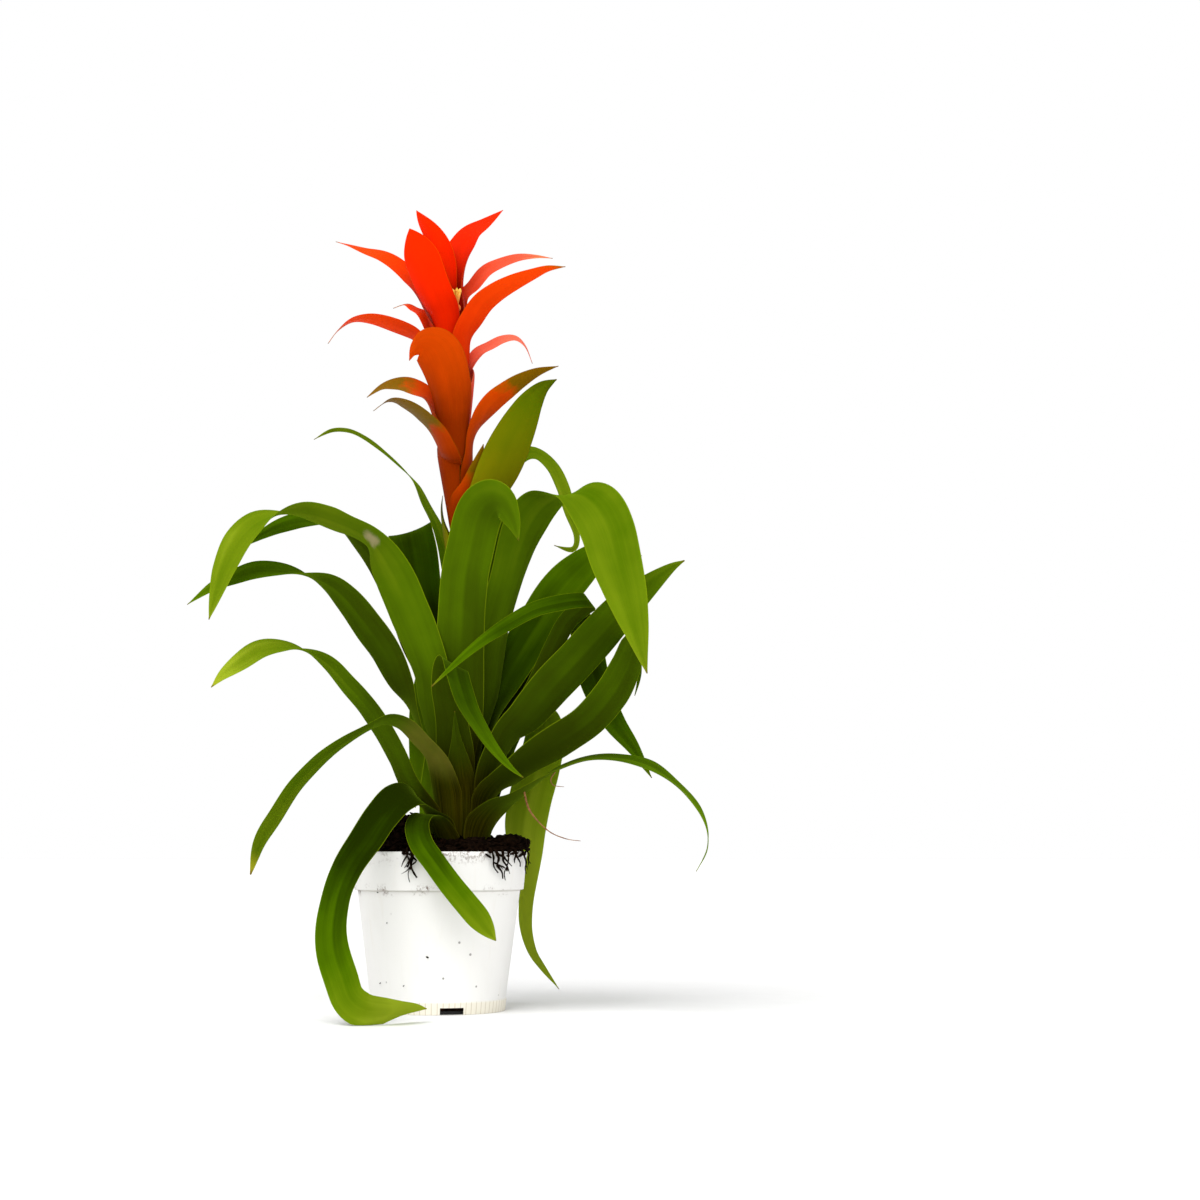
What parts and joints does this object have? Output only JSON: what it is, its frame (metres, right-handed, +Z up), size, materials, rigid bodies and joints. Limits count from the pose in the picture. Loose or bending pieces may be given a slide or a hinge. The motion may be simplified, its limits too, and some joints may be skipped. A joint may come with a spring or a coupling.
{
  "type": "potted guzmania bromeliad",
  "caption": "Guzmania bromeliad with arching strap leaves and an upright red bract spike, rooted in bark soil in a white grower's pot.",
  "frame": {"origin": "centre of the pot's underside, on the surface that the pot stands on", "axes": "+Z up along the pot's axis, -Y towards the viewer of the picture, +X to the viewer's right"},
  "size_m": [0.3546, 0.3008, 0.5667],
  "materials": {
    "pot": "white moulded plastic, scuffed and specked with soil",
    "soil": "loose dark bark mix with dead roots",
    "stem": "smooth plant tissue",
    "leaf": "smooth leathery leaf with a soft sheen",
    "bract_olive": "satin",
    "bract_orange": "satin",
    "bract_red": "satin",
    "flowers": "satin"
  },
  "bodies": {
    "root": {"pot": "pot", "stem": "stem", "soil": "soil", "leaf_over_rim": "leaf", "leaf_behind_pot": "leaf", "leaf_floor": "leaf", "leaf_right_low": "leaf", "leaf_left_low": "leaf", "leaf_right_broad": "leaf", "leaf_dry_base": "leaf", "leaf_right_back": "leaf", "sheath_old": "leaf", "leaf_left_middle": "leaf", "leaf_right_long": "leaf", "leaf_front_low": "leaf", "leaf_front_crossing": "leaf", "leaf_left_high": "leaf", "leaf_right_high": "leaf", "leaf_left_inner": "leaf", "leaf_front_folded": "leaf", "leaf_left_upright": "leaf", "leaf_right_arch": "leaf", "leaf_right_thin": "leaf", "leaf_left_thin": "leaf", "leaf_back_low": "leaf", "leaf_back_middle": "leaf", "leaf_back_right": "leaf", "bract_base": "bract_olive", "bract_right_green": "bract_olive", "bract_right_short": "bract_olive", "bract_right_orange": "bract_orange", "bract_front_left": "bract_orange", "bract_left_low": "bract_orange", "bract_front": "bract_orange", "bract_right_pink": "bract_orange", "bract_left_arch": "bract_orange", "bract_left_back": "bract_red", "bract_right_long": "bract_red", "bract_right_thin": "bract_red", "bract_left_top": "bract_red", "bract_front_top": "bract_red", "bract_cup_right": "bract_red", "bract_cup_back": "bract_red", "flowers": "flowers"}
  },
  "joints": []
}
